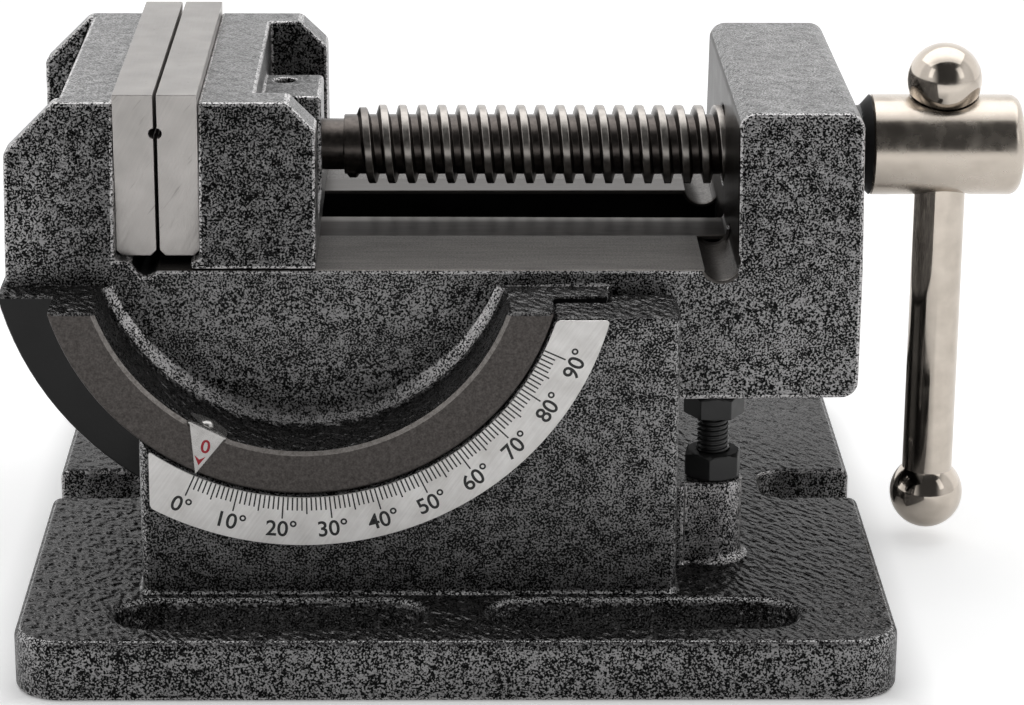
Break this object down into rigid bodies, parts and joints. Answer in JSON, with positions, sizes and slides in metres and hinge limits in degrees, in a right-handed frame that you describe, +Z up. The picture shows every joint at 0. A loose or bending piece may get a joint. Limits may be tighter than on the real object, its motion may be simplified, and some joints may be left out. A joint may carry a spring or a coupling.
{
  "type": "tilting drill press vise",
  "caption": "Cast-iron drill press vise that tilts on a half-round rocker in a slotted base, with ground jaw plates, a lead screw and a sliding bar handle.",
  "frame": {"origin": "middle of the base's underside, on the table", "axes": "+X towards the handle, +Y away from the angle scale, +Z up"},
  "size_m": [0.2532, 0.212, 0.1333],
  "materials": {
    "hammertone_iron": "dark grey hammertone paint over cast iron",
    "ground_steel": "surface-ground steel",
    "screw_steel": "turned steel, oiled, bright on the crests",
    "black_steel": "black oxide",
    "nickel": "polished nickel plate",
    "scale_aluminium": "printed satin aluminium",
    "bright_sheet": "bright sheet steel"
  },
  "bodies": {
    "base": {"base": "hammertone_iron", "angle_scale": "scale_aluminium", "stop_bolt": "black_steel", "stop_nut": "black_steel"},
    "lock_low": {"lock_bolt_low": "black_steel"},
    "lock_high": {"lock_bolt_high": "black_steel"},
    "tilting_body": {"vise_body": "hammertone_iron", "fixed_jaw_plate": "ground_steel", "fixed_jaw_screws": "black_steel", "tilt_pointer": "bright_sheet", "pointer_rivet": "bright_sheet"},
    "jaw": {"moving_jaw": "hammertone_iron", "moving_jaw_plate": "ground_steel", "moving_jaw_screws": "black_steel", "hold_down_plate": "ground_steel", "hold_down_screws": "black_steel", "nose_pin": "ground_steel"},
    "screw": {"lead_screw": "screw_steel", "screw_collar": "black_steel", "screw_hub": "nickel"},
    "handle": {"handle_bar": "nickel", "handle_ball_top": "nickel", "handle_ball_bottom": "nickel"}
  },
  "joints": [
    {"name": "tilt", "type": "hinge", "parent": "base", "child": "tilting_body", "pos_m": [-0.0366, 0, 0.103], "axis": [0, -1, 0], "range_deg": [0, 90]},
    {"name": "jaw_slide", "type": "slide", "parent": "tilting_body", "child": "jaw", "axis": [1, 0, 0], "range_m": [-0.00075, 0.095]},
    {"name": "screw_turn", "type": "hinge", "parent": "jaw", "child": "screw", "pos_m": [0.1, 0, 0.107], "axis": [1, 0, 0], "range_deg": [-60, 6845]},
    {"name": "handle_slide", "type": "slide", "parent": "screw", "child": "handle", "axis": [0, 0, 1], "range_m": [0, 0.077]},
    {"name": "lock_low_turn", "type": "hinge", "parent": "base", "child": "lock_low", "pos_m": [-0.01019, 0.0763, 0.03763], "axis": [0, 1, 0], "range_deg": [0, 90]},
    {"name": "lock_high_turn", "type": "hinge", "parent": "base", "child": "lock_high", "pos_m": [0.02185, 0.0763, 0.06358], "axis": [0, 1, 0], "range_deg": [0, 90]}
  ],
  "couplings": [
    {"joint": "screw_turn", "follows": "jaw_slide", "rad_per_m": 1256.6}
  ]
}
